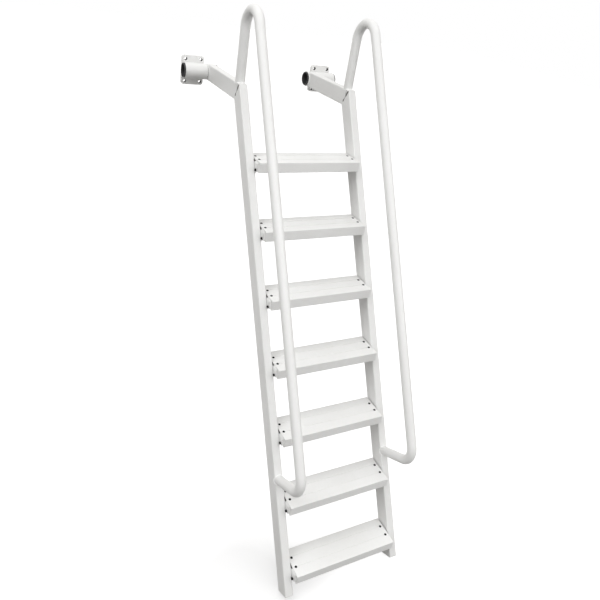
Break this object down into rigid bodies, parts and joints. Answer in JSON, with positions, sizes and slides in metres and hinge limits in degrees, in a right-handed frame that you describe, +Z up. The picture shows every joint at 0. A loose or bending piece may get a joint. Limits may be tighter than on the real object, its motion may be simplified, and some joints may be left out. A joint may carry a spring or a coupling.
{
  "type": "swing-up dock ladder",
  "caption": "Leaning dock ladder with flat treads and tubular handrails that swings up on two pivot tubes held in bolted dock brackets.",
  "frame": {"origin": "centre of the left bracket's flat back face, which bolts to the dock face", "axes": "+X along the dock edge from the left bracket to the right, +Y into the dock, +Z up"},
  "size_m": [0.8256, 1.5844, 2.2651],
  "materials": {
    "white_powder_coat": "satin",
    "bracket_coat": "satin",
    "fastener_steel": "satin",
    "black_nylon": "matte",
    "white_plastic": "matte"
  },
  "bodies": {
    "brackets": {"left_bracket": "bracket_coat", "right_bracket": "bracket_coat"},
    "ladder": {"left_pivot_tube": "white_powder_coat", "right_pivot_tube": "white_powder_coat", "left_pivot_sleeve": "black_nylon", "right_pivot_sleeve": "black_nylon", "left_arm": "white_powder_coat", "left_stringer": "white_powder_coat", "left_handrail": "white_powder_coat", "left_foot_cap": "white_plastic", "left_spacers": "black_nylon", "right_arm": "white_powder_coat", "right_stringer": "white_powder_coat", "right_handrail": "white_powder_coat", "right_foot_cap": "white_plastic", "right_spacers": "black_nylon", "tread_1": "white_powder_coat", "left_cleat_1": "white_powder_coat", "right_cleat_1": "white_powder_coat", "tread_2": "white_powder_coat", "left_cleat_2": "white_powder_coat", "right_cleat_2": "white_powder_coat", "tread_3": "white_powder_coat", "left_cleat_3": "white_powder_coat", "right_cleat_3": "white_powder_coat", "tread_4": "white_powder_coat", "left_cleat_4": "white_powder_coat", "right_cleat_4": "white_powder_coat", "tread_5": "white_powder_coat", "left_cleat_5": "white_powder_coat", "right_cleat_5": "white_powder_coat", "tread_6": "white_powder_coat", "left_cleat_6": "white_powder_coat", "right_cleat_6": "white_powder_coat", "tread_7": "white_powder_coat", "left_cleat_7": "white_powder_coat", "right_cleat_7": "white_powder_coat"}
  },
  "joints": [
    {"name": "swing_up", "type": "hinge", "parent": "brackets", "child": "ladder", "pos_m": [0, -0.0545, 0.005], "axis": [-1, 0, 0], "range_deg": [0, 90]}
  ]
}
